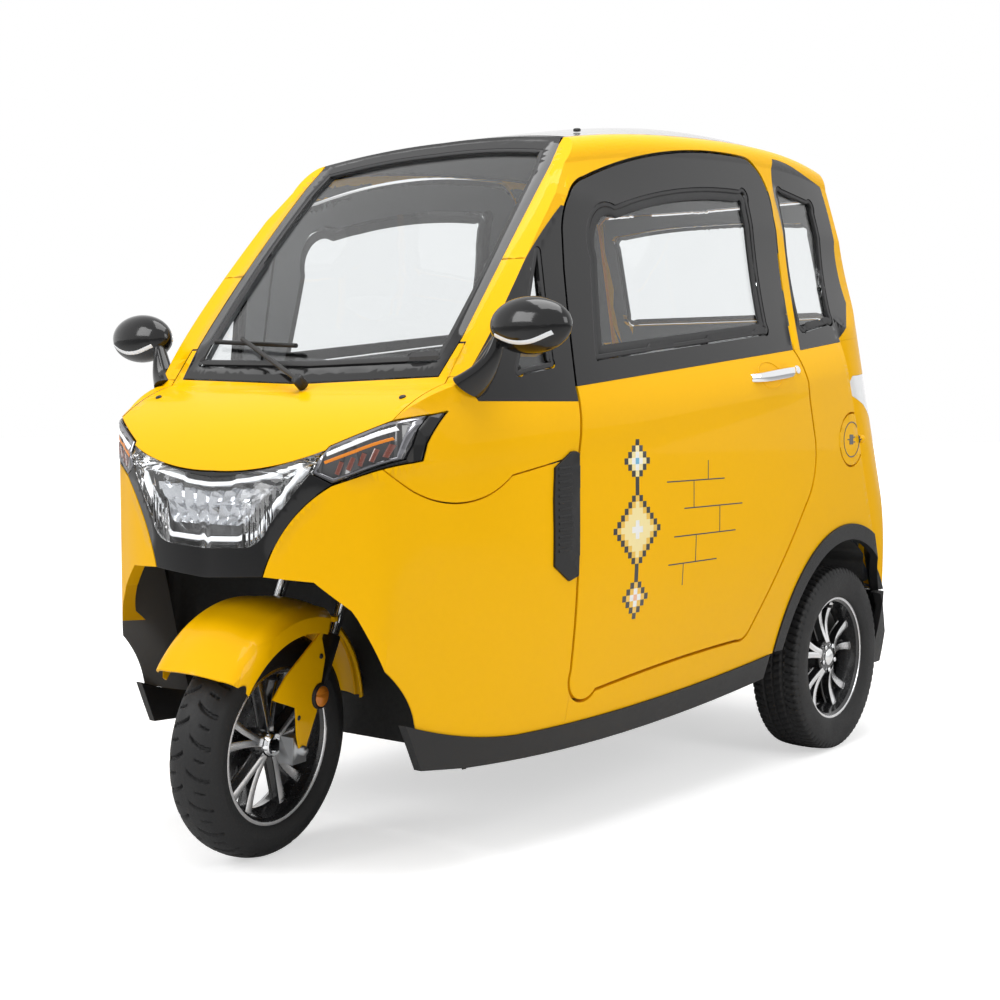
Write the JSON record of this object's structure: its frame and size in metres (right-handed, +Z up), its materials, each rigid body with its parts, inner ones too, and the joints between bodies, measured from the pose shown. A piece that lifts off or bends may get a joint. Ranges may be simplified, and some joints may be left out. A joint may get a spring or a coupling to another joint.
{
  "type": "enclosed electric tricycle",
  "caption": "Enclosed electric tricycle with a hollow cabin, hinged doors, tailgate and charging flap, steered front wheel and rolling wheels.",
  "frame": {"origin": "on the floor, at the middle of the vehicle's length and width", "axes": "+Z up, the front looks along -Y, the vehicle's left side is +X"},
  "size_m": [1.318, 2.2491, 1.6404],
  "materials": {
    "frame_black": "satin black powder coat",
    "floor_black": "dark moulded floor",
    "axle_black": "black axle casing",
    "damper_steel": "steel springs and rods",
    "battery_grey": "plain block for the sealed battery pack",
    "trim_black": "fine-grained black plastic",
    "body_yellow": "gloss yellow paint under clear coat",
    "gloss_black": "gloss black",
    "roof_dark": "dark gloss roof",
    "lamp_inner": "dark lamp housing with bright reflectors",
    "lamp_lens": "clear moulded lens",
    "lamp_clear": "clear tail lamp",
    "liner_black": "rough black liner",
    "window_glass": "clear glass",
    "seat_black": "black sewn seat cover",
    "dash_black": "grained dashboard plastic",
    "mirror_face": "mirror",
    "chrome_trim": "chrome",
    "fork_steel": "chrome tubes on dark sliders",
    "amber": "amber reflector",
    "tyre_rubber": "black rubber",
    "rim_alloy": "black cast rim with machined faces",
    "disc_steel": "steel disc"
  },
  "bodies": {
    "root": {"chassis_frame": "frame_black", "floor_pan": "floor_black", "rear_axle": "axle_black", "rear_dampers": "damper_steel", "battery_block": "battery_grey", "side_skirts": "trim_black", "front_side_panels": "body_yellow", "bonnet": "body_yellow", "front_fascia": "gloss_black", "front_lamps": "lamp_inner", "headlamp_lens": "lamp_lens", "wheel_well_liners": "liner_black", "windshield_frame": "gloss_black", "windshield_glass": "window_glass", "roof_rails": "body_yellow", "roof_panel": "roof_dark", "rear_quarters": "body_yellow", "side_window_frames": "gloss_black", "side_window_glass": "window_glass", "wheel_arch_trims": "trim_black", "hinge_covers": "trim_black", "rear_bumper": "trim_black", "tail_lamps": "lamp_clear", "seat_plinth": "floor_black", "driver_seat": "seat_black", "rear_bench": "seat_black", "dashboard": "dash_black", "side_mirrors": "gloss_black", "mirror_glass": "mirror_face", "windshield_wiper": "trim_black"},
    "door_left": {"door_left_panel": "body_yellow", "door_left_frame": "gloss_black", "door_left_glass": "window_glass", "door_left_handle": "chrome_trim"},
    "door_right": {"door_right_panel": "body_yellow", "door_right_frame": "gloss_black", "door_right_glass": "window_glass", "door_right_handle": "chrome_trim"},
    "tailgate": {"tailgate_panel": "body_yellow", "tailgate_glass": "window_glass"},
    "charge_flap": {"charge_flap": "body_yellow"},
    "steering": {"front_fork": "fork_steel", "handlebar": "dash_black", "front_fender": "body_yellow", "fender_reflectors": "amber"},
    "front_wheel": {"front_tyre": "tyre_rubber", "front_rim": "rim_alloy", "front_brake_disc": "disc_steel"},
    "rear_wheel_left": {"rear_tyre_left": "tyre_rubber", "rear_rim_left": "rim_alloy"},
    "rear_wheel_right": {"rear_tyre_right": "tyre_rubber", "rear_rim_right": "rim_alloy"}
  },
  "joints": [
    {"name": "steering", "type": "hinge", "parent": "root", "child": "steering", "pos_m": [0, -0.828, 0.2362], "axis": [0, 0.4226, 0.9063], "range_deg": [-44, 28]},
    {"name": "front_wheel_spin", "type": "hinge", "parent": "steering", "child": "front_wheel", "pos_m": [0.008, -0.88646, 0.23595], "axis": [0.9888, 0.1355, -0.0632], "continuous": true},
    {"name": "rear_wheel_left_spin", "type": "hinge", "parent": "root", "child": "rear_wheel_left", "pos_m": [0.43, 0.763, 0.247], "axis": [1, 0, 0], "continuous": true},
    {"name": "rear_wheel_right_spin", "type": "hinge", "parent": "root", "child": "rear_wheel_right", "pos_m": [-0.43, 0.763, 0.247], "axis": [1, 0, 0], "continuous": true},
    {"name": "door_left", "type": "hinge", "parent": "root", "child": "door_left", "pos_m": [0.498, -0.4502, 0.9], "axis": [0, 0, -1], "range_deg": [0, 68]},
    {"name": "door_right", "type": "hinge", "parent": "root", "child": "door_right", "pos_m": [-0.498, -0.4502, 0.9], "axis": [0, 0, 1], "range_deg": [0, 68]},
    {"name": "tailgate", "type": "hinge", "parent": "root", "child": "tailgate", "pos_m": [0, 0.877, 1.4782], "axis": [1, 0, 0], "range_deg": [0, 75]},
    {"name": "charge_flap", "type": "hinge", "parent": "root", "child": "charge_flap", "pos_m": [0.5265, 0.6923, 0.833], "axis": [0, 0, -1], "range_deg": [0, 100]}
  ]
}
